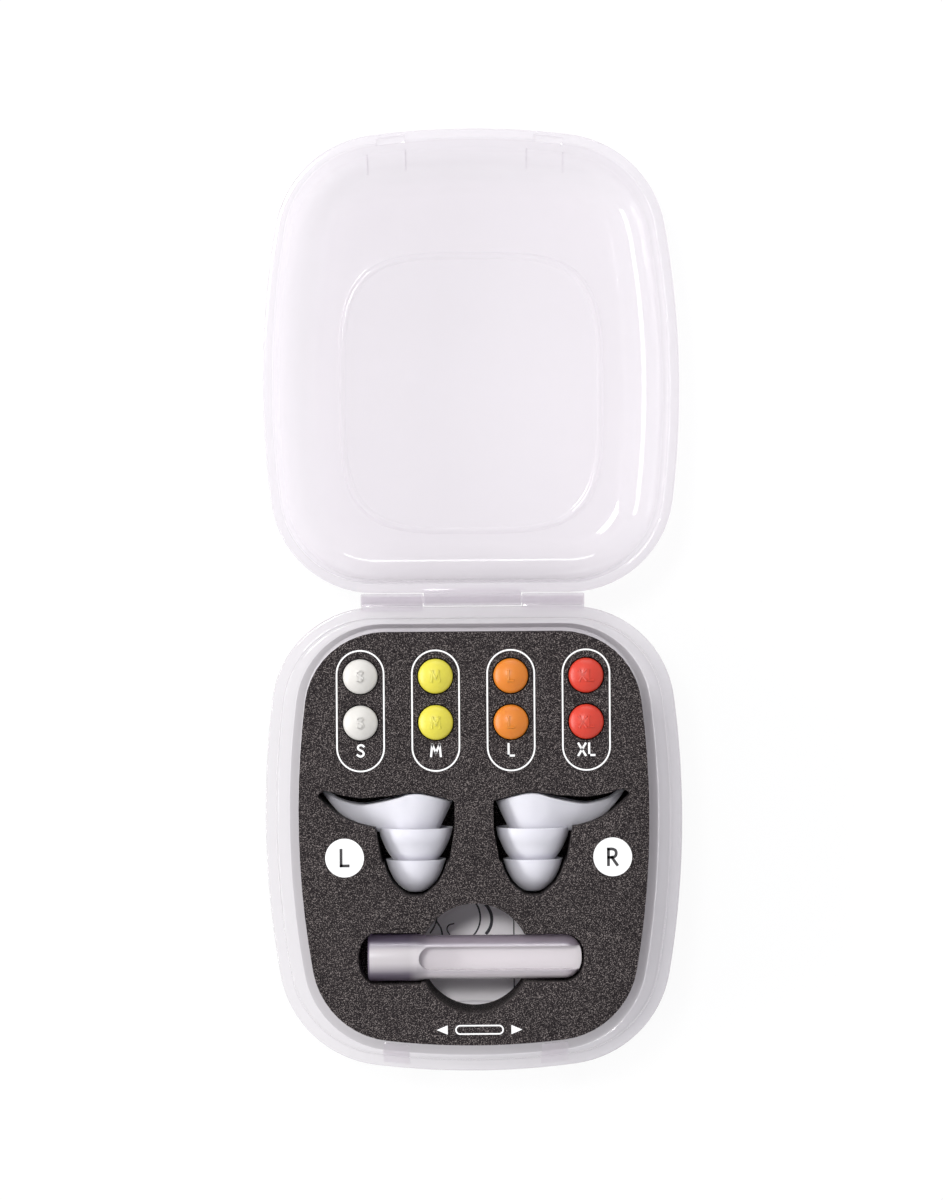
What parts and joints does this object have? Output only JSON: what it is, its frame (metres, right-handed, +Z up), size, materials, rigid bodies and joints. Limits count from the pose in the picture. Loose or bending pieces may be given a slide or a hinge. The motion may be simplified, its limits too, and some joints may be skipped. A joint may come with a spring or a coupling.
{
  "type": "ear plug kit",
  "caption": "Hinged translucent case, lying open, with a foam tray that holds flanged ear plugs, domed core inserts in graded sizes and an applicator; each piece lifts out.",
  "frame": {"origin": "on the table, under the hinge axis, in the middle of the open kit", "axes": "+X along the hinge axis, +Y from the base towards the open lid, +Z up"},
  "size_m": [0.072, 0.1628, 0.0177],
  "materials": {
    "case_plastic": "translucent polypropylene, smooth",
    "tray_foam": "matt closed-cell foam with a fine grain",
    "leaflet_paper": "matt printed paper",
    "plug_silicone": "translucent satin silicone",
    "applicator_plastic": "frosted clear plastic",
    "insert_s": "satin",
    "insert_m": "satin",
    "insert_l": "satin",
    "insert_xl": "satin"
  },
  "bodies": {
    "base": {"case_base": "case_plastic", "hinge_pin": "case_plastic"},
    "lid": {"case_lid": "case_plastic"},
    "tray": {"foam_tray": "tray_foam", "foam_backing": "tray_foam"},
    "leaflet": {"leaflet": "leaflet_paper"},
    "insert_s_1": {"insert_s_1": "insert_s"},
    "insert_s_2": {"insert_s_2": "insert_s"},
    "insert_m_1": {"insert_m_1": "insert_m"},
    "insert_m_2": {"insert_m_2": "insert_m"},
    "insert_l_1": {"insert_l_1": "insert_l"},
    "insert_l_2": {"insert_l_2": "insert_l"},
    "insert_xl_1": {"insert_xl_1": "insert_xl"},
    "insert_xl_2": {"insert_xl_2": "insert_xl"},
    "plug_left": {"plug_left": "plug_silicone"},
    "plug_right": {"plug_right": "plug_silicone"},
    "applicator": {"applicator": "applicator_plastic"}
  },
  "joints": [
    {"name": "lid_hinge", "type": "hinge", "parent": "base", "child": "lid", "pos_m": [0, 0, 0.0161], "axis": [-1, 0, 0], "range_deg": [-180, 0]},
    {"name": "tray_lift", "type": "slide", "parent": "base", "child": "tray", "axis": [0, 0, 1], "range_m": [0, 0.03]},
    {"name": "leaflet_lift", "type": "slide", "parent": "base", "child": "leaflet", "axis": [0, 0, 1], "range_m": [0, 0.018]},
    {"name": "insert_s_1_lift", "type": "slide", "parent": "tray", "child": "insert_s_1", "axis": [0, 0, 1], "range_m": [0, 0.016]},
    {"name": "insert_s_2_lift", "type": "slide", "parent": "tray", "child": "insert_s_2", "axis": [0, 0, 1], "range_m": [0, 0.016]},
    {"name": "insert_m_1_lift", "type": "slide", "parent": "tray", "child": "insert_m_1", "axis": [0, 0, 1], "range_m": [0, 0.016]},
    {"name": "insert_m_2_lift", "type": "slide", "parent": "tray", "child": "insert_m_2", "axis": [0, 0, 1], "range_m": [0, 0.016]},
    {"name": "insert_l_1_lift", "type": "slide", "parent": "tray", "child": "insert_l_1", "axis": [0, 0, 1], "range_m": [0, 0.016]},
    {"name": "insert_l_2_lift", "type": "slide", "parent": "tray", "child": "insert_l_2", "axis": [0, 0, 1], "range_m": [0, 0.016]},
    {"name": "insert_xl_1_lift", "type": "slide", "parent": "tray", "child": "insert_xl_1", "axis": [0, 0, 1], "range_m": [0, 0.016]},
    {"name": "insert_xl_2_lift", "type": "slide", "parent": "tray", "child": "insert_xl_2", "axis": [0, 0, 1], "range_m": [0, 0.016]},
    {"name": "plug_left_lift", "type": "slide", "parent": "tray", "child": "plug_left", "axis": [0, 0, 1], "range_m": [0, 0.02]},
    {"name": "plug_right_lift", "type": "slide", "parent": "tray", "child": "plug_right", "axis": [0, 0, 1], "range_m": [0, 0.02]},
    {"name": "applicator_lift", "type": "slide", "parent": "tray", "child": "applicator", "axis": [0, 0, 1], "range_m": [0, 0.02]}
  ],
  "couplings": [
    {"joint": "leaflet_lift", "follows": "tray_lift", "ratio": 0.6}
  ]
}
